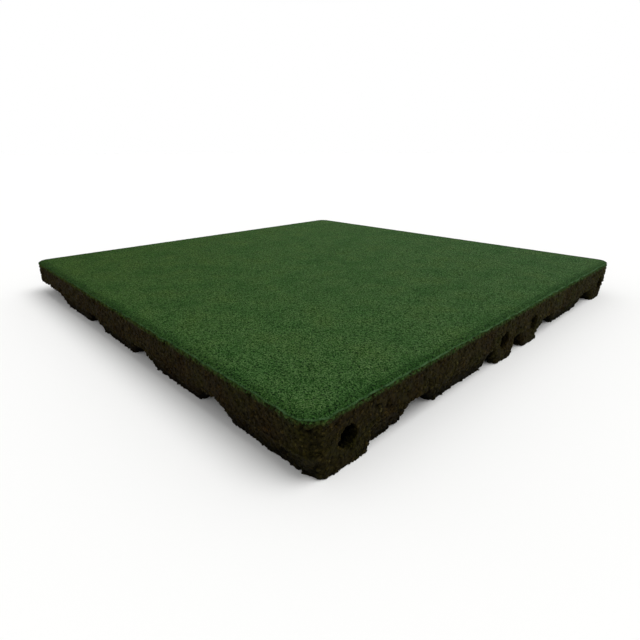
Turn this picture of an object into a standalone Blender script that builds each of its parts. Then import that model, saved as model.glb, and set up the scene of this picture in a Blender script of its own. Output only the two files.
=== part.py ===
"""Rubber safety tile: a square of bonded rubber crumb on moulded feet, pinned to its neighbours on two sides.

Metres, +Z up. The origin is on the floor under the middle of the tile. The pinned sides face +X and -X.
"""

import math

import bmesh
import bpy
from mathutils import Matrix, Vector

# Driving dimensions
SIDE = 0.500
THICKNESS = 0.040
FOOT_HEIGHT = 0.0165
CORNER_RADIUS = 0.015
TOP_BEVEL = 0.004
# The green granulate ends about half way down the bevel
WEAR_LAYER = 0.002

# Drainage channels cross between the feet. They are laid out from the +X, -Y corner in both directions
FOOT_PITCH = 0.110
FIRST_CHANNEL = 0.103
CHANNEL_COUNT = 4
CHANNEL_MOUTH = 0.034
CHANNEL_CEILING = 0.017
FOOT_CORNER = 0.005
RIM_SET_BACK = 0.006
CORNER_REBATE = 0.0165

# Four blind pin holes in each pinned side, two of them near the middle and one near each end
PIN_HOLE_DIAMETER = 0.015
PIN_HOLE_DEPTH = 0.035
PIN_HOLE_HEIGHT = 0.0185
PIN_INSET = 0.0295

# A lug flush with the side carries each pin hole. It is longer on the side of the tile's middle. Its ends
# lean in towards the floor, apart from the one that runs into the +X, -Y corner
LUG_TO_MIDDLE = 0.025
LUG_TO_CORNER = 0.018
FRONT_LUG_TO_CORNER = 0.022
LUG_LEAN = 0.006
LUG_DEPTH = 0.044
LUG_CORNER = 0.005

# How far a shape reaches into its neighbour, or past a face that it cuts
OVERLAP = 0.001
# A fine step between shapes that would otherwise be flush, so that no two faces coincide
STEP = 0.0003

# Faces that meet at a larger angle, in degrees, keep a sharp edge between them
SHARP_FROM = 35

HALF = SIDE / 2
QUARTER_TURN = math.pi / 2


def clear_scene():
    for old in list(bpy.data.objects):
        bpy.data.objects.remove(old)


def new_collection(name):
    collection = bpy.data.collections.new(name)
    bpy.context.scene.collection.children.link(collection)
    return collection


def rubber(name, colour):
    """A matt bonded-crumb finish in one colour."""
    material = bpy.data.materials.new(name)
    material.use_nodes = True
    shader = material.node_tree.nodes["Principled BSDF"]
    shader.inputs["Base Color"].default_value = (*colour, 1)
    shader.inputs["Roughness"].default_value = 0.9
    shader.inputs["Metallic"].default_value = 0
    return material


def to_object(bm, name, collection):
    bmesh.ops.recalc_face_normals(bm, faces=bm.faces)
    mesh = bpy.data.meshes.new(name)
    bm.to_mesh(mesh)
    bm.free()
    obj = bpy.data.objects.new(name, mesh)
    collection.objects.link(obj)
    return obj


def add_box(bm, low, high):
    """Adds a box between two corners and returns its points."""
    verts = bmesh.ops.create_cube(bm, size=1)["verts"]
    size = Vector(high) - Vector(low)
    bmesh.ops.scale(bm, vec=size, verts=verts)
    bmesh.ops.translate(bm, vec=Vector(low) + size / 2, verts=verts)
    return verts


def upright_edges(verts):
    edges = {edge for vert in verts for edge in vert.link_edges}
    return [e for e in edges if abs(e.verts[0].co.z - e.verts[1].co.z) > OVERLAP]


def round_edges(bm, edges, width, segments):
    """Bevels the edges and returns the new points."""
    done = bmesh.ops.bevel(bm, geom=edges, offset=width, segments=segments, profile=0.5, affect="EDGES")
    return done["verts"]


def slab():
    """The upper part of the tile: rounded corners and a bevelled top edge."""
    bm = bmesh.new()
    verts = add_box(bm, (-HALF, -HALF, FOOT_HEIGHT), (HALF, HALF, THICKNESS))
    round_edges(bm, upright_edges(verts), CORNER_RADIUS, 5)
    top = max(bm.faces, key=lambda face: face.calc_center_median().z)
    round_edges(bm, list(top.edges), TOP_BEVEL, 2)
    return bm


def foot_spans():
    """Where the feet lie along X or Y at the slab: between the rims and the ceilings of the channels."""
    edges = [HALF - STEP]
    for number in range(CHANNEL_COUNT):
        middle = HALF - FIRST_CHANNEL - number * FOOT_PITCH
        edges += [middle + CHANNEL_CEILING / 2, middle - CHANNEL_CEILING / 2]
    edges.append(STEP - HALF)
    return list(zip(edges[1::2], edges[::2]))


def at_floor(span):
    """A foot's span at the floor: set back a little at a rim, upright at a rebate, sloped at a channel."""
    ends = []
    for position, inwards in zip(span, (1, -1)):
        from_rim = HALF - abs(position)
        if from_rim < OVERLAP:
            inset = RIM_SET_BACK
        elif from_rim < CORNER_REBATE + OVERLAP:
            inset = 0
        else:
            inset = (CHANNEL_MOUTH - CHANNEL_CEILING) / 2
        ends.append(position + inwards * inset)
    return ends


def add_foot(bm, x_span, y_span):
    """One foot, a block with rounded corners that narrows towards the floor."""
    verts = add_box(bm, (x_span[0], y_span[0], 0), (x_span[1], y_span[1], FOOT_HEIGHT + OVERLAP))
    x_floor, y_floor = at_floor(x_span), at_floor(y_span)
    for vert in verts:
        if vert.co.z < OVERLAP:
            vert.co.x = x_floor[vert.co.x > sum(x_span) / 2]
            vert.co.y = y_floor[vert.co.y > sum(y_span) / 2]
    round_edges(bm, upright_edges(verts), FOOT_CORNER, 3)


def feet():
    """All the feet. The corner feet stop short of the unpinned sides, apart from the one at the +X, -Y corner."""
    bm = bmesh.new()
    x_spans = foot_spans()
    # The layout in Y is the same, counted from the -Y rim
    y_spans = [(-high, -low) for low, high in x_spans]
    last = len(x_spans) - 1
    for x_number, x_span in enumerate(x_spans):
        for y_number, (y_low, y_high) in enumerate(y_spans):
            if x_number == last and y_number == 0:
                y_low = CORNER_REBATE - HALF
            if x_number in (0, last) and y_number == last:
                y_high = HALF - CORNER_REBATE
            add_foot(bm, x_span, (y_low, y_high))
    return bm


def pin_places():
    """Each pin hole as its side of the tile and its place in Y."""
    for side in (1, -1):
        for y in (PIN_INSET - HALF, -PIN_INSET, PIN_INSET, HALF - PIN_INSET):
            yield side, y


def lug_spans(side, y):
    """Where the lug of a pin hole lies along Y, at the slab and at the floor."""
    to_corner = math.copysign(1, y)
    at_front = side > 0 and y < -HALF / 2
    reach, lean = (FRONT_LUG_TO_CORNER, 0) if at_front else (LUG_TO_CORNER, LUG_LEAN)
    corner_end = y + to_corner * reach
    middle_end = y - to_corner * LUG_TO_MIDDLE
    slab_span = sorted((corner_end, middle_end))
    floor_span = sorted((corner_end - to_corner * lean, middle_end + to_corner * LUG_LEAN))
    return slab_span, floor_span


def lugs():
    bm = bmesh.new()
    for side, y in pin_places():
        slab_span, floor_span = lug_spans(side, y)
        outer, inner = side * (HALF - STEP), side * (HALF - LUG_DEPTH)
        low = (min(outer, inner), slab_span[0], STEP)
        high = (max(outer, inner), slab_span[1], FOOT_HEIGHT + 2 * OVERLAP)
        verts = add_box(bm, low, high)
        for vert in verts:
            if vert.co.z < OVERLAP:
                vert.co.y = floor_span[vert.co.y > y]
        outer_edges = [e for e in upright_edges(verts) if abs(e.verts[0].co.x - outer) < OVERLAP]
        round_edges(bm, outer_edges, LUG_CORNER, 4)
    return bm


def middle_slots():
    """Cuts through the foot of each pinned side, a little wider than the gap between its middle lugs."""
    bm = bmesh.new()
    half_width = PIN_INSET - LUG_TO_MIDDLE + OVERLAP
    for side in (1, -1):
        outer, inner = side * (HALF + OVERLAP), side * (HALF - LUG_DEPTH + STEP)
        low = (min(outer, inner), -half_width, -OVERLAP)
        verts = add_box(bm, low, (max(outer, inner), half_width, FOOT_HEIGHT))
        for vert in verts:
            if vert.co.z < 0:
                vert.co.y += math.copysign(LUG_LEAN, vert.co.y)
    return bm


def pin_holes():
    bm = bmesh.new()
    length = PIN_HOLE_DEPTH + OVERLAP
    radius = PIN_HOLE_DIAMETER / 2
    for side, y in pin_places():
        done = bmesh.ops.create_cone(bm, cap_ends=True, segments=20, radius1=radius, radius2=radius, depth=length)
        turn = Matrix.Rotation(QUARTER_TURN, 3, "Y")
        bmesh.ops.rotate(bm, cent=(0, 0, 0), matrix=turn, verts=done["verts"])
        middle = side * (HALF + OVERLAP - length / 2)
        bmesh.ops.translate(bm, vec=(middle, y, PIN_HOLE_HEIGHT), verts=done["verts"])
    return bm


def boolean(obj, helper, operation):
    helper.hide_render = True
    helper.display_type = "WIRE"
    modifier = obj.modifiers.new(helper.name, "BOOLEAN")
    modifier.operation = operation
    modifier.solver = "EXACT"
    modifier.object = helper


def build_tile():
    parts = new_collection("rubber_safety_tile")
    helpers = new_collection("mould_shapes")
    tile = to_object(slab(), "safety_tile", parts)
    boolean(tile, to_object(feet(), "feet", helpers), "UNION")
    boolean(tile, to_object(middle_slots(), "middle_slots", helpers), "DIFFERENCE")
    boolean(tile, to_object(lugs(), "lugs", helpers), "UNION")
    boolean(tile, to_object(pin_holes(), "pin_holes", helpers), "DIFFERENCE")
    return tile


def settle(tile):
    """Turns the tile and its modifiers into one plain mesh, smooth but for its real corners."""
    bpy.context.view_layer.update()
    evaluated = tile.evaluated_get(bpy.context.evaluated_depsgraph_get())
    mesh = bpy.data.meshes.new_from_object(evaluated)
    tile.modifiers.clear()
    tile.data = mesh
    mesh.name = tile.name
    mesh.shade_smooth()
    mesh.set_sharp_from_angle(angle=math.radians(SHARP_FROM))


def colour(tile):
    """The top and the upper part of its bevel are green granulate, the rest is black crumb."""
    mesh = tile.data
    mesh.materials.clear()
    mesh.materials.append(rubber("black_crumb_rubber", (0.018, 0.014, 0.009)))
    mesh.materials.append(rubber("green_granulate", (0.032, 0.078, 0.022)))
    for face in mesh.polygons:
        face.material_index = int(face.center.z > THICKNESS - WEAR_LAYER)


clear_scene()
safety_tile = build_tile()
settle(safety_tile)
colour(safety_tile)
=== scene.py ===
"""A rubber safety tile, dressed for its picture: a green wear face on a base of black tyre crumb.

Metres, +Z up. The tile lies on its feet, and its pinned sides face +X and -X.
"""

import math
import random

import bmesh
import bpy
from mathutils import Matrix, Vector, noise


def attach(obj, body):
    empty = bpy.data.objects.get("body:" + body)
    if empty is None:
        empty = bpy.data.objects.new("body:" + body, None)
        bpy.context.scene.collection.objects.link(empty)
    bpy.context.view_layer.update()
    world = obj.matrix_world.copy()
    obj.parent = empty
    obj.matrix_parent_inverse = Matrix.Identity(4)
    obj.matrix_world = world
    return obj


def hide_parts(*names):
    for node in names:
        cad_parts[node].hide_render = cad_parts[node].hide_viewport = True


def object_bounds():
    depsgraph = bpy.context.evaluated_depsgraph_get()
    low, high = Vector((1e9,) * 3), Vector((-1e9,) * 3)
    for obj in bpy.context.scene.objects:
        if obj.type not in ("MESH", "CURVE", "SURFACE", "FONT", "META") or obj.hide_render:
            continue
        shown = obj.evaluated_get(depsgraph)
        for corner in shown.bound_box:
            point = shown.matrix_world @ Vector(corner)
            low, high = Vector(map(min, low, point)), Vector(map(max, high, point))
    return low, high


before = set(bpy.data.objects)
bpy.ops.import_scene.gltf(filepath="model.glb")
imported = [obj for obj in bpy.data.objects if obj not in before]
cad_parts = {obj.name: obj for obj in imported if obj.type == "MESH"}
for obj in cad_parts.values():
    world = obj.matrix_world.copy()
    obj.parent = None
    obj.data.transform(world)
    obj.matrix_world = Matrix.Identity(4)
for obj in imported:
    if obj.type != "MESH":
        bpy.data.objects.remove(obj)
cad_low, cad_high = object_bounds()

# The wear face is a skin of green pigmented granulate, grains of about 1 mm bound with polyurethane and
# pressed in the mould on top of the base. The lid of the mould gives it an even, lightly pitted top. It ends
# raggedly half way down the bevelled rim, in a fine flash line against the black, with a painted highlight
# on it.
HALF = cad_high.x
TOP = cad_high.z
UP = Vector((0, 0, 1))
CORNER_RADIUS = 0.015
BEVEL = 0.004
BEVEL_RINGS = 3
WEAR_GRID = 0.00172
# The granulate ends this far below the top, give or take waves of each length and depth
WEAR_DEPTH = 0.0017
WEAR_WAVES = ((0.014, 0.0006), (0.0045, 0.0005))
# The flash stands out by this much. Below it the skin turns in by two lips
FLASH = 0.0003
LIP = 0.0015
# The dents are coarser than the real granules, as fine as the mesh can hold
GRANULE = 0.0024
GRANULE_GAP = 0.00010
GRANULE_STEP = 0.00012
HOLLOW_LENGTH = 0.045
HOLLOW_DEPTH = 0.00012
# A gap is where the distances to the two nearest crumbs differ by less than this, in crumb sizes
GAP_REACH = 0.4
# Spreading the crumbs' centres out gives each of them a random number of its own
CENTRE_SPREAD = 17
CENTRE_SHIFT = Vector((5.3, 1.7, 9.1))
# Sizes in the granulate's colour: its grains and how far they are bent, in grains, the fine streaks on them,
# the drifts of shade, the painted shade round the rim and the clumps of painted highlight on the flash line
GRAIN = 0.0007
GRAIN_BEND = 0.9
STREAK = 0.0004
GREEN_DRIFT = 0.030
RIM_SHADE_BAND = 0.012
GLINT_CLUMP = 0.006
# The numbers of a Mix node's colour sockets, whose names it uses for its other sockets too
COLOUR_A, COLOUR_B, MIXED = 6, 7, 2


def rounded(place, half, radius):
    """Moves a point of a square grid inwards near its corners, so that the grid has round corners."""
    u, v = abs(place.x) - half + radius, abs(place.y) - half + radius
    if min(u, v) <= 0:
        return place
    share = min(u, v) / max(u, v) * math.pi / 4
    angle = share if u > v else math.pi / 2 - share
    reach = max(u, v)
    x = half - radius + reach * math.cos(angle)
    y = half - radius + reach * math.sin(angle)
    return Vector((math.copysign(x, place.x), math.copysign(y, place.y), place.z))


def outwards(place):
    """The level direction straight out of the tile's side, turning round each corner."""
    core = HALF - CORNER_RADIUS
    past_x, past_y = max(abs(place.x) - core, 0), max(abs(place.y) - core, 0)
    return Vector((math.copysign(past_x, place.x), math.copysign(past_y, place.y), 0)).normalized()


def past_core(place):
    """How far a point lies outside the square between the round corners' centres."""
    core = HALF - CORNER_RADIUS
    return Vector((max(abs(place.x) - core, 0), max(abs(place.y) - core, 0), 0)).length


def wear_depth(place):
    """How far below the top the green granulate ends on the bevel near this place. Its end is ragged."""
    on_wall = place + outwards(place) * (CORNER_RADIUS - past_core(place))
    on_wall.z = 0
    return WEAR_DEPTH + sum(depth * noise.noise(on_wall / length) for length, depth in WEAR_WAVES)


def crumb(place, size):
    """How far into a gap between crumbs a point lies, from 0 to 1, and a random number of its crumb."""
    distances, centres = noise.voronoi(place / size)
    gap_share = max(0, 1 - (distances[1] - distances[0]) / GAP_REACH)
    luck = (noise.cell(centres[0] * CENTRE_SPREAD + CENTRE_SHIFT) + 1) / 2
    return gap_share, luck


def boundary(bm):
    """The open edges of a mesh."""
    return [edge for edge in bm.edges if edge.is_boundary]


def extrude_ring(bm, move):
    """Extrudes the open rim of a mesh. The function says how far out and how far down each point moves."""
    made = bmesh.ops.extrude_edge_only(bm, edges=boundary(bm))["geom"]
    ring = [item for item in made if isinstance(item, bmesh.types.BMVert)]
    for vert in ring:
        out, down = move(vert)
        vert.co += outwards(vert.co) * out - UP * down
    return ring


def flat_top():
    """The level part of the wear face, a fine grid with round corners. Each point keeps where the granulate
    ends on the bevel next to it, as an angle, and how far up the surface it lies from that end."""
    bm = bmesh.new()
    flat = HALF - BEVEL
    cells = round(2 * flat / WEAR_GRID)
    level = Matrix.Translation(UP * TOP)
    bmesh.ops.create_grid(bm, x_segments=cells, y_segments=cells, size=flat, matrix=level)
    end = bm.verts.layers.float.new("bevel_end")
    from_end = bm.verts.layers.float.new("from_end")
    for vert in bm.verts:
        vert.co = rounded(vert.co, flat, CORNER_RADIUS - BEVEL)
        vert[end] = math.acos(1 - wear_depth(vert.co) / BEVEL)
        vert[from_end] = BEVEL * vert[end] + CORNER_RADIUS - BEVEL - past_core(vert.co)
    return bm


def wrap_bevel(bm):
    """Carries the granulate over the bevel in rings, down to its end, where the flash stands out."""
    end = bm.verts.layers.float["bevel_end"]
    from_end = bm.verts.layers.float["from_end"]
    for ring in range(BEVEL_RINGS):
        before, now = ring / BEVEL_RINGS, (ring + 1) / BEVEL_RINGS
        made = extrude_ring(bm, lambda vert: (
            BEVEL * (math.sin(vert[end] * now) - math.sin(vert[end] * before)),
            BEVEL * (math.cos(vert[end] * before) - math.cos(vert[end] * now)),
        ))
        for vert in made:
            vert[from_end] = BEVEL * vert[end] * (1 - now)
    extrude_ring(bm, lambda vert: (FLASH, FLASH / 2))


def press_granules(bm):
    """Dents the surface into granules and slow hollows, always inwards."""
    bmesh.ops.recalc_face_normals(bm, faces=bm.faces)
    bm.verts.ensure_lookup_table()
    facing = math.copysign(1, bm.verts[0].normal.z)
    for vert in bm.verts:
        gap_share, luck = crumb(vert.co, GRANULE)
        hollow = (noise.noise(vert.co / HOLLOW_LENGTH) + 1) / 2 * HOLLOW_DEPTH
        vert.co -= vert.normal * facing * (gap_share * GRANULE_GAP + luck * GRANULE_STEP + hollow)


def close_underneath(bm):
    """Turns the skin in below its end and closes it inside the base."""
    extrude_ring(bm, lambda vert: (-FLASH, FLASH))
    extrude_ring(bm, lambda vert: (-LIP, 0))
    for vert in extrude_ring(bm, lambda vert: (-LIP, 0)):
        vert.co.z = TOP - BEVEL
    bmesh.ops.holes_fill(bm, edges=boundary(bm))


def wear_face_mesh():
    bm = flat_top()
    wrap_bevel(bm)
    press_granules(bm)
    close_underneath(bm)
    return bm


def finish_piece(bm, name):
    """Makes the mesh an object that rides on the tile's body and stands for its solid."""
    bmesh.ops.recalc_face_normals(bm, faces=bm.faces)
    mesh = bpy.data.meshes.new(name)
    bm.to_mesh(mesh)
    bm.free()
    mesh.shade_smooth()
    piece = bpy.data.objects.new(name, mesh)
    bpy.context.scene.collection.objects.link(piece)
    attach(piece, "root")
    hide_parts("safety_tile")
    return piece


def linear(code):
    """A hex sRGB colour as the linear values that a shader takes."""
    shares = [int(code[place:place + 2], 16) / 255 for place in (1, 3, 5)]
    return [s / 12.92 if s <= 0.04045 else ((s + 0.055) / 1.055) ** 2.4 for s in shares] + [1]


def add_node(owner, kind, values, stops=(), **settings):
    """Adds a shader node to a material or the world. A value is a number, a colour, or the output that its
    input is linked from. Stops are a ramp's places, in rising order, and their colours."""
    tree = owner.node_tree
    node = tree.nodes.new("ShaderNode" + kind)
    for name, setting in settings.items():
        setattr(node, name, setting)
    for name, value in values.items():
        if isinstance(value, bpy.types.NodeSocket):
            tree.links.new(value, node.inputs[name])
        else:
            node.inputs[name].default_value = value
    for number, (place, code) in enumerate(stops):
        ramp = node.color_ramp.elements
        stop = ramp[number] if number < 2 else ramp.new(place)
        stop.position = place
        stop.color = linear(code)
    return node


def new_material(name):
    material = bpy.data.materials.new(name)
    material.use_nodes = True
    return material, material.node_tree.nodes["Principled BSDF"]


def along_diagonal(material, axes):
    """How far a point lies from the -X, -Y corner towards the +X, +Y corner, from 0 to 1."""
    total = add_node(material, "Math", {0: axes["X"], 1: axes["Y"]}, operation="ADD").outputs[0]
    reach = {"Value": total, "From Min": -2 * HALF, "From Max": 2 * HALF}
    return add_node(material, "MapRange", reach).outputs[0]


def grain_cells(material, place):
    """The pattern of the grains: a wobble, the cells that it bends, and the distance to their edges."""
    wobble = add_node(material, "TexNoise", {"Vector": place, "Scale": 1 / GRAIN, "Detail": 2})
    shift = add_node(
        material, "VectorMath", {0: wobble.outputs["Color"], "Scale": GRAIN * GRAIN_BEND}, operation="SCALE",
    )
    bent = add_node(material, "VectorMath", {0: place, 1: shift.outputs[0]}).outputs[0]
    cells = add_node(material, "TexVoronoi", {"Vector": bent, "Scale": 1 / GRAIN})
    edges = add_node(
        material, "TexVoronoi", {"Vector": bent, "Scale": 1 / GRAIN}, feature="DISTANCE_TO_EDGE",
    )
    return wobble, cells, edges


def flash_highlight(material, place, on_rim, diagonal):
    """How much painted highlight shows on the flash line: a thin line at the granulate's end, broken into
    clumps, and fuller towards the +X, +Y corner."""
    line = add_node(
        material, "ValToRGB", {"Fac": on_rim},
        stops=((0.02, "#A0A0A0"), (0.05, "#FFFFFF"), (0.13, "#000000")),
    )
    broken = add_node(material, "TexNoise", {"Vector": place, "Scale": 1 / GLINT_CLUMP, "Detail": 4})
    clumps = add_node(
        material, "MapRange",
        {"Value": broken.outputs["Fac"], "From Min": 0.38, "From Max": 0.66, "To Min": 0.2},
    )
    fuller = add_node(material, "MapRange", {"Value": diagonal, "From Max": 0.7, "To Min": 0.15})
    glint_share = add_node(
        material, "Math", {0: clumps.outputs[0], 1: fuller.outputs[0]}, operation="MULTIPLY",
    )
    highlight_share = {0: line.outputs[0], 1: glint_share.outputs[0]}
    return add_node(material, "Math", highlight_share, operation="MULTIPLY").outputs[0]


def pigmented_granulate():
    """Pigmented granulate: matt green grains of about 1 mm in drifting shades, with near-black gaps. It has
    painted shade round the rim and towards the -X, -Y corner, and a painted highlight on the flash line
    where it ends."""
    material, shader = new_material("pigmented_granulate")
    place = add_node(material, "TexCoord", {}).outputs["Object"]
    diagonal = along_diagonal(material, add_node(material, "SeparateXYZ", {"Vector": place}).outputs)
    wobble, cells, edges = grain_cells(material, place)

    # Each grain has its own green, and the greens drift over the tile
    shade = add_node(material, "SeparateColor", {"Color": cells.outputs["Color"]})
    greens = add_node(
        material, "ValToRGB", {"Fac": shade.outputs["Red"]},
        stops=((0.0, "#041904"), (0.2, "#183E0E"), (0.34, "#375B2A"), (1.0, "#678459")),
    )
    drift = add_node(material, "TexNoise", {"Vector": place, "Scale": 1 / GREEN_DRIFT, "Detail": 3})
    tints = add_node(
        material, "ValToRGB", {"Fac": drift.outputs["Fac"]},
        stops=((0.35, "#DDF2DC"), (0.5, "#F6FFF2"), (0.68, "#FFFFEC")),
    )
    # Painted shade: the green is darker and yellower towards the -X, -Y corner
    painted_corner_shade = add_node(
        material, "ValToRGB", {"Fac": diagonal},
        stops=((0.0, "#DDE2A8"), (0.45, "#F3F9E4"), (1.0, "#FFFFFF")),
    )
    gaps = add_node(
        material, "MapRange", {"Value": edges.outputs["Distance"], "From Max": 0.18, "To Min": 0.22},
        interpolation_type="SMOOTHSTEP",
    )

    # The rim has painted shade, darker from its end up to the flat, with a ragged border
    from_end = add_node(material, "Attribute", {}, attribute_name="from_end").outputs["Fac"]
    ragged = add_node(
        material, "Math", {0: wobble.outputs["Fac"], 1: GRAIN, 2: from_end}, operation="MULTIPLY_ADD",
    )
    on_rim = add_node(material, "MapRange", {"Value": ragged.outputs[0], "From Max": RIM_SHADE_BAND}).outputs[0]
    painted_rim_shade = add_node(
        material, "ValToRGB", {"Fac": on_rim},
        stops=((0.0, "#A8B6A8"), (0.16, "#C0D0BE"), (0.42, "#C8D6C6"), (0.7, "#F2F7F2"), (1.0, "#FFFFFF")),
    )
    colour = greens.outputs[0]
    for shade_by in (tints, painted_corner_shade, gaps, painted_rim_shade):
        colour = add_node(
            material, "Mix", {"Factor": 1, COLOUR_A: colour, COLOUR_B: shade_by.outputs[0]},
            data_type="RGBA", blend_type="MULTIPLY",
        ).outputs[MIXED]
    # A painted highlight in pale green along the flash line
    highlight_share = flash_highlight(material, place, on_rim, diagonal)
    highlighted = add_node(
        material, "Mix", {"Factor": highlight_share, COLOUR_A: colour, COLOUR_B: linear("#496743")}, data_type="RGBA",
    )

    # Round grains with fine streaks on them
    roundness = 1.5
    fine = add_node(material, "TexNoise", {"Vector": place, "Scale": 1 / STREAK, "Detail": 3})
    height = add_node(
        material, "Math", {0: edges.outputs["Distance"], 1: roundness, 2: fine.outputs["Fac"]},
        operation="MULTIPLY_ADD",
    )
    bump = add_node(material, "Bump", {"Height": height.outputs[0], "Strength": 0.8, "Distance": 0.0005})
    links = material.node_tree.links
    links.new(highlighted.outputs[MIXED], shader.inputs["Base Color"])
    links.new(bump.outputs[0], shader.inputs["Normal"])
    shader.inputs["Roughness"].default_value = 0.9
    shader.inputs["Specular IOR Level"].default_value = 0.04
    return material


wear_face = finish_piece(wear_face_mesh(), "wear_face")
wear_face.data.materials.append(pigmented_granulate())

# The base is black SBR crumb from shredded tyres, 1 to 6 mm pieces with a few brown, ochre and grey ones,
# bound with polyurethane in the same press. The mould leaves its sides flat with small voids between the
# crumbs, with painted shade in the holes and low down. Underneath are the solid's feet, channels, lugs and
# pin holes.
CELL = 0.0029
RIM_DETAIL = 0.009
MERGE = 1e-5
BASE_INSET = 0.0005
BASE_TOP = TOP - 0.0010
CRUMB = 0.0036
CRUMB_GAP = 0.0006
# A crumb's random number, from 0 to 1, says whether it is sunk, and a few of the crumbs are missing
SUNK_FROM = 0.5
MISSING_FROM = 0.965
CRUMB_STEP = 0.0007
CRUMB_HOLE = 0.0012
# Where a normal's rise is under this, the surface counts as upright
UPRIGHT = 0.7
# Sizes in the crumb's colour: its specks and its drifts of shade
SPECK = 0.0014
BROWN_DRIFT = 0.025
# The painted shade is nil this near a side, full this far in, and gone above this height
UNSHADED_DEPTH = 0.002
SHADED_DEPTH = 0.008
FLOOR_SHADE_HEIGHT = 0.015
# Further in than the pin holes and on the soles of the feet the painted shade is lighter
HOLES_END = 0.055
HOLES_FADE = 0.01
SOLE_FULL = 0.001
SOLE_REACH = 0.0025
# The pigment of the granulate smears the crumbs down to this far below the top
SMEAR_END = 0.0068


def remeshed(source, cell):
    """A copy of a CAD mesh, merged and made again from even faces that keep its sharp edges."""
    bm = bmesh.new()
    bm.from_mesh(source.data)
    bmesh.ops.remove_doubles(bm, verts=bm.verts, dist=MERGE)
    mesh = bpy.data.meshes.new("merged")
    bm.to_mesh(mesh)
    bm.free()
    helper = bpy.data.objects.new("merged", mesh)
    bpy.context.scene.collection.objects.link(helper)
    remesh = helper.modifiers.new("remesh", "REMESH")
    remesh.mode = "SHARP"
    remesh.octree_depth = 8
    remesh.scale = 2 * HALF / (cell * 2 ** remesh.octree_depth)
    bpy.context.view_layer.update()
    even = bpy.data.meshes.new_from_object(helper.evaluated_get(bpy.context.evaluated_depsgraph_get()))
    bpy.data.objects.remove(helper)
    bm = bmesh.new()
    bm.from_mesh(even)
    bpy.data.meshes.remove(even)
    return bm


def near_rim(place):
    """Whether a point is close to the tile's sides, where the mesh is finer."""
    return max(abs(place.x), abs(place.y)) > HALF - RIM_DETAIL


def refine_rim(bm):
    """Halves the faces along the sides, where the crumbs show most."""
    edges = [
        edge for edge in bm.edges
        if any(near_rim(face.calc_center_median()) for face in edge.link_faces)
    ]
    bmesh.ops.subdivide_edges(bm, edges=edges, cuts=1, use_grid_fill=True)


def sink_crumbs(bm):
    """Dents the surface into crumbs, always inwards. Each point keeps its crumb's random number and how deep
    it lies."""
    bm.normal_update()
    tint = bm.verts.layers.float.new("crumb_tint")
    depth = bm.verts.layers.float.new("void_depth")
    low, high = Vector((-HALF, -HALF, 0)), Vector((HALF, HALF, TOP))
    for vert in bm.verts:
        gap_share, luck = crumb(vert.co, CRUMB)
        sunk = gap_share * CRUMB_GAP + max(0, luck - SUNK_FROM) / (1 - SUNK_FROM) * CRUMB_STEP
        if luck > MISSING_FROM:
            sunk += CRUMB_HOLE
        vert[tint] = luck
        vert[depth] = sunk / (CRUMB_GAP + CRUMB_STEP + CRUMB_HOLE)
        moved = vert.co - vert.normal * sunk
        vert.co = Vector(min(max(value, least), most) for value, least, most in zip(moved, low, high))
        if abs(vert.normal.z) < UPRIGHT:
            vert.co -= outwards(vert.co) * BASE_INSET


def base_mesh():
    """The solid's own shape, cut off just below the top of the wear face."""
    bm = remeshed(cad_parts["safety_tile"], CELL)
    everything = list(bm.verts) + list(bm.edges) + list(bm.faces)
    bmesh.ops.bisect_plane(
        bm, geom=everything, plane_co=UP * BASE_TOP, plane_no=UP, clear_outer=True,
    )
    refine_rim(bm)
    sink_crumbs(bm)
    bmesh.ops.holes_fill(bm, edges=boundary(bm))
    return bm


def crumb_browns(material, place, shade):
    """The crumbs' own colours, near-black to ochre, with specks on them. Like ones gather in patches."""
    speckled, patchy = 0.6, 0.35
    tint = add_node(material, "Attribute", {}, attribute_name="crumb_tint").outputs["Fac"]
    mixed = add_node(material, "Mix", {"Factor": speckled, "A": tint, "B": shade}, data_type="FLOAT")
    drift = add_node(material, "TexNoise", {"Vector": place, "Scale": 1 / BROWN_DRIFT, "Detail": 3})
    grouped = add_node(
        material, "Math", {0: drift.outputs["Fac"], 1: patchy, 2: mixed.outputs[0]},
        operation="MULTIPLY_ADD",
    )
    settled = add_node(
        material, "MapRange", {"Value": grouped.outputs[0], "From Min": 0.17, "From Max": 1.2},
    )
    browns = add_node(
        material, "ValToRGB", {"Fac": settled.outputs[0]},
        stops=((0.1, "#110E04"), (0.5, "#201B09"), (0.75, "#28230C"), (0.88, "#312811"), (1.0, "#433D25")),
    )
    tints = add_node(
        material, "ValToRGB", {"Fac": drift.outputs["Fac"]},
        stops=((0.3, "#FFE6D2"), (0.5, "#FFFFFF"), (0.7, "#EAFFD8")),
    )
    return add_node(
        material, "Mix", {"Factor": 1, COLOUR_A: browns.outputs[0], COLOUR_B: tints.outputs[0]},
        data_type="RGBA", blend_type="MULTIPLY",
    ).outputs[MIXED]


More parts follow.
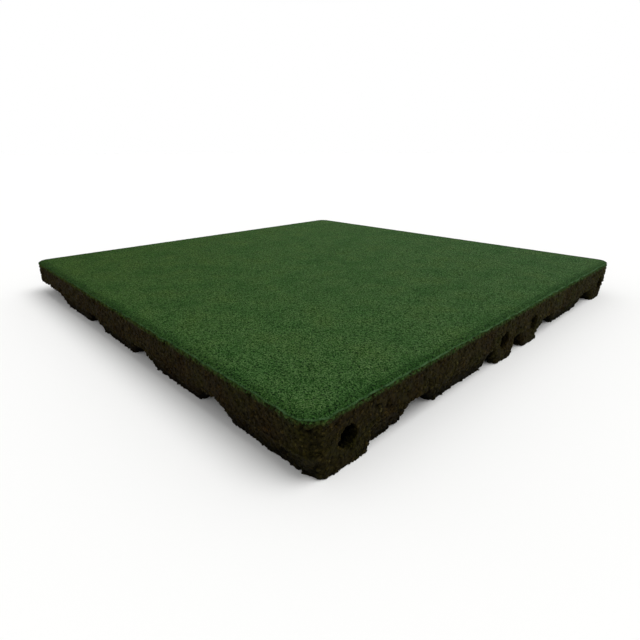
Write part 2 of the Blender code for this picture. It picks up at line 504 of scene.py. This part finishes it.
def painted_crumb_shade(material, axes, diagonal):
    """How bright the painted shade leaves the crumb: fully on the sides, and little in voids and holes. It
    is darker towards the floor, and painted lighter towards the +X, +Y corner."""
    depth = add_node(material, "Attribute", {}, attribute_name="void_depth").outputs["Fac"]
    from_middle = [
        add_node(material, "Math", {0: axes[name]}, operation="ABSOLUTE").outputs[0] for name in "XY"
    ]
    to_side = add_node(
        material, "Math", {0: from_middle[0], 1: from_middle[1]}, operation="MAXIMUM",
    ).outputs[0]
    # Painted shade: darker in the holes and channels further in than the sides
    in_holes = add_node(
        material, "MapRange",
        {"Value": to_side, "From Min": HALF - SHADED_DEPTH, "From Max": HALF - UNSHADED_DEPTH, "To Min": 0.15},
    )
    holes_end = HALF - HOLES_END
    past_holes = add_node(
        material, "MapRange",
        {"Value": to_side, "From Min": holes_end, "From Max": holes_end + HOLES_FADE,
         "To Min": 0.6, "To Max": 0},
    )
    sole = add_node(
        material, "MapRange",
        {"Value": axes["Z"], "From Min": SOLE_FULL, "From Max": SOLE_REACH, "To Min": 0.7, "To Max": 0},
    )
    # Painted shade in the voids between the crumbs
    voids = add_node(
        material, "MapRange", {"Value": depth, "From Max": 0.6, "To Min": 1, "To Max": 0.4},
    )
    # Painted shade, darker towards the floor
    low = add_node(material, "MapRange", {"Value": axes["Z"], "From Max": FLOOR_SHADE_HEIGHT, "To Min": 0.8})
    # Painted light: the crumb is lighter towards the +X, +Y corner
    far = add_node(
        material, "MapRange",
        {"Value": diagonal, "From Min": 0.55, "From Max": 0.85, "To Min": 1, "To Max": 1.45},
    )
    lit_share = in_holes.outputs[0]
    for other in (past_holes, sole):
        lit_share = add_node(material, "Math", {0: lit_share, 1: other.outputs[0]}, operation="MAXIMUM").outputs[0]
    for other in (voids, low, far):
        lit_share = add_node(material, "Math", {0: lit_share, 1: other.outputs[0]}, operation="MULTIPLY").outputs[0]
    return lit_share


def bonded_crumb():
    """Bonded SBR crumb: near-black and porous, matt, with painted shade that darkens it towards the floor
    and in the voids and holes, and a few brown, ochre and grey crumbs. Just below the green some crumbs are
    smeared with its pigment."""
    material, shader = new_material("bonded_sbr_crumb")
    place = add_node(material, "TexCoord", {}).outputs["Object"]
    axes = add_node(material, "SeparateXYZ", {"Vector": place}).outputs
    diagonal = along_diagonal(material, axes)
    cells = add_node(material, "TexVoronoi", {"Vector": place, "Scale": 1 / SPECK})
    shade = add_node(material, "SeparateColor", {"Color": cells.outputs["Color"]})
    browns = crumb_browns(material, place, shade.outputs["Red"])
    # The painted shade darkens the crumb's colours
    shaded_browns = add_node(
        material, "Mix", {"Factor": 1, COLOUR_A: browns, COLOUR_B: painted_crumb_shade(material, axes, diagonal)},
        data_type="RGBA", blend_type="MULTIPLY",
    )

    # The smear of pigment is on some of the specks only
    smear = add_node(
        material, "MapRange",
        {"Value": axes["Z"], "From Min": TOP - SMEAR_END, "From Max": TOP - WEAR_DEPTH, "To Max": 1},
        interpolation_type="SMOOTHSTEP",
    )
    smeared = add_node(
        material, "Math", {0: smear.outputs[0], 1: shade.outputs["Green"]}, operation="MULTIPLY",
    )
    greened = add_node(
        material, "Mix",
        {"Factor": smeared.outputs[0], COLOUR_A: shaded_browns.outputs[MIXED], COLOUR_B: linear("#3A5C2D")},
        data_type="RGBA",
    )

    # The brown leans to yellow at the -X, -Y corner
    leaning = add_node(
        material, "ValToRGB", {"Fac": diagonal},
        stops=((0.0, "#FFF08E"), (0.3, "#FFF2B8"), (0.48, "#FCF8E2"), (0.9, "#F2FFF2")),
    )
    colour = add_node(
        material, "Mix",
        {"Factor": 1, COLOUR_A: greened.outputs[MIXED], COLOUR_B: leaning.outputs[0]},
        data_type="RGBA", blend_type="MULTIPLY",
    )

    # Specks that are highest in the middle, with a fine grain on them
    roundness = -1
    fine = add_node(material, "TexNoise", {"Vector": place, "Scale": 1 / SPECK, "Detail": 4})
    height = add_node(
        material, "Math", {0: cells.outputs["Distance"], 1: roundness, 2: fine.outputs["Fac"]},
        operation="MULTIPLY_ADD",
    )
    bump = add_node(material, "Bump", {"Height": height.outputs[0], "Strength": 0.9, "Distance": 0.0006})
    links = material.node_tree.links
    links.new(colour.outputs[MIXED], shader.inputs["Base Color"])
    links.new(bump.outputs[0], shader.inputs["Normal"])
    shader.inputs["Roughness"].default_value = 0.85
    shader.inputs["Specular IOR Level"].default_value = 0.05
    return material


crumb_base = finish_piece(base_mesh(), "crumb_base")
crumb_base.data.materials.append(bonded_crumb())

# Single crumbs stand out of the binder all over the sides. They are angular shreds of tyre rubber, pressed
# flat where they touched the mould, and they leave the lower edges ragged.
SHARD_COUNT = 9500
SHARD_SIZES = (0.0006, 0.0016)
SHARD_STRETCHES = (1, 1.6)
SHARD_FLATNESS = (0.45, 0.9)
SHARD_JITTER = 0.28
SHARD_TOP = BASE_TOP - 0.001
SHARD_SEED = 7
# Joining the shards in batches is much faster than growing one large mesh
SHARD_BATCH = 50
# Faces that look further into the tile than this carry no shard
FACING_IN = -0.3
MOULD_GAP = 0.0002


def inside_mould(place):
    """Presses a point flat where it would pass the mould's wall or bevel, the granulate or the floor."""
    height = min(max(place.z, 0), TOP - wear_depth(place) - MOULD_GAP)
    up_bevel = max(height - TOP + BEVEL, 0)
    wall = CORNER_RADIUS - MOULD_GAP - BEVEL + math.sqrt(BEVEL ** 2 - up_bevel ** 2)
    over = max(past_core(place) - wall, 0)
    pressed = place - outwards(place) * over
    return Vector((pressed.x, pressed.y, height))


def add_shard(bm, tint, place, normal, rng):
    """One crumb, a jittered and flattened ball of 20 faces, half sunk in the surface."""
    size = rng.uniform(*SHARD_SIZES)
    flat = rng.uniform(*SHARD_FLATNESS)
    spin = Matrix.Rotation(rng.uniform(0, math.tau), 4, "Z")
    turn = normal.to_track_quat("Z", "Y").to_matrix().to_4x4() @ spin
    stretch = Matrix.Diagonal((size * rng.uniform(*SHARD_STRETCHES), size, size * flat, 1))
    matrix = Matrix.Translation(place) @ turn @ stretch
    verts = bmesh.ops.create_icosphere(bm, subdivisions=1, radius=1, matrix=matrix)["verts"]
    value = rng.random()
    for vert in verts:
        shift = Vector((rng.uniform(-1, 1), rng.uniform(-1, 1), rng.uniform(-1, 1)))
        vert.co = inside_mould(vert.co + shift * size * SHARD_JITTER)
        vert[tint] = value


def shard_mesh(base):
    rng = random.Random(SHARD_SEED)
    rim = [
        face for face in base.data.polygons
        if near_rim(face.center) and face.center.z < SHARD_TOP
        and face.normal.dot(outwards(face.center)) > FACING_IN
    ]
    chosen = rng.sample(rim, SHARD_COUNT)
    whole = bmesh.new()
    whole.verts.layers.float.new("crumb_tint")
    for start in range(0, SHARD_COUNT, SHARD_BATCH):
        batch = bmesh.new()
        tint = batch.verts.layers.float.new("crumb_tint")
        for face in chosen[start:start + SHARD_BATCH]:
            add_shard(batch, tint, face.center.copy(), face.normal.copy(), rng)
        mesh = bpy.data.meshes.new("batch")
        batch.to_mesh(mesh)
        batch.free()
        whole.from_mesh(mesh)
        bpy.data.meshes.remove(mesh)
    return whole


rim_crumbs = finish_piece(shard_mesh(crumb_base), "rim_crumbs")
rim_crumbs.data.materials.append(crumb_base.data.materials[0])

# The floor is a plain sheet of pale matt paper. It is a flat disc, so wide that its edge is lost at the
# horizon of the pale room.
FLOOR_REACH = 40.0
FLOOR_SIDES = 64


def paper():
    """Backdrop paper: near white and quite matt, without any sheen."""
    material, shader = new_material("backdrop_paper")
    shader.inputs["Base Color"].default_value = linear("#F6F6F5")
    shader.inputs["Roughness"].default_value = 1
    shader.inputs["Specular IOR Level"].default_value = 0
    return material


floor_bm = bmesh.new()
bmesh.ops.create_circle(floor_bm, cap_ends=True, segments=FLOOR_SIDES, radius=FLOOR_REACH)
floor_mesh = bpy.data.meshes.new("floor")
floor_bm.to_mesh(floor_mesh)
floor_bm.free()
floor_mesh.materials.append(paper())
floor = bpy.data.objects.new("floor", floor_mesh)
bpy.context.scene.collection.objects.link(floor)

# Soft studio light: a pale room, whitest along the horizon, and one broad lamp high up behind the tile's
# right. The lamp is so broad that the tile has only a soft shadow.
ROOM_HORIZON = 1.0
ROOM_ABOVE = 0.6
# The room's light falls off between these two heights, as the Z of a direction of length 1
HORIZON_TOP = 0.25
ABOVE_FROM = 0.45
LAMP_POWER = 1.58
LAMP_SPREAD = math.radians(45)
LAMP_FROM = Vector((0.55, 0.38, 1.3))


def room():
    world = bpy.data.worlds.new("room")
    world.use_nodes = True
    place = add_node(world, "TexCoord", {}).outputs["Generated"]
    axes = add_node(world, "SeparateXYZ", {"Vector": place}).outputs
    level = add_node(
        world, "MapRange",
        {"Value": axes["Z"], "From Min": HORIZON_TOP, "From Max": ABOVE_FROM,
         "To Min": ROOM_HORIZON, "To Max": ROOM_ABOVE},
    )
    background = world.node_tree.nodes["Background"]
    background.inputs["Color"].default_value = linear("#FFFFFF")
    world.node_tree.links.new(level.outputs[0], background.inputs["Strength"])
    return world


lamp_data = bpy.data.lights.new("overhead", "SUN")
lamp_data.energy = LAMP_POWER
lamp_data.angle = LAMP_SPREAD
lamp = bpy.data.objects.new("overhead", lamp_data)
lamp.location = LAMP_FROM
lamp.rotation_euler = LAMP_FROM.to_track_quat("Z", "Y").to_euler()
bpy.context.scene.collection.objects.link(lamp)
bpy.context.scene.world = room()
bpy.context.scene.view_settings.view_transform = "Standard"

# The camera stands low in front of the +X, -Y corner, at the photograph's angle, and leans a hair. Its place
# and its lens were fitted to the tile's edges in the photograph.
CAMERA_PLACE = (0.3871, -0.3758, 0.1655)
CAMERA_TURN = math.radians(45.90)
CAMERA_TILT = math.radians(90 - 20.70)
CAMERA_LEAN = math.radians(-0.18)
LENS = 25.19

camera_data = bpy.data.cameras.new("camera")
camera_data.lens = LENS
camera = bpy.data.objects.new("camera", camera_data)
turn = Matrix.Rotation(CAMERA_TURN, 4, "Z") @ Matrix.Rotation(CAMERA_TILT, 4, "X")
camera.matrix_world = Matrix.Translation(CAMERA_PLACE) @ turn @ Matrix.Rotation(CAMERA_LEAN, 4, "Z")
bpy.context.scene.collection.objects.link(camera)
bpy.context.scene.camera = camera
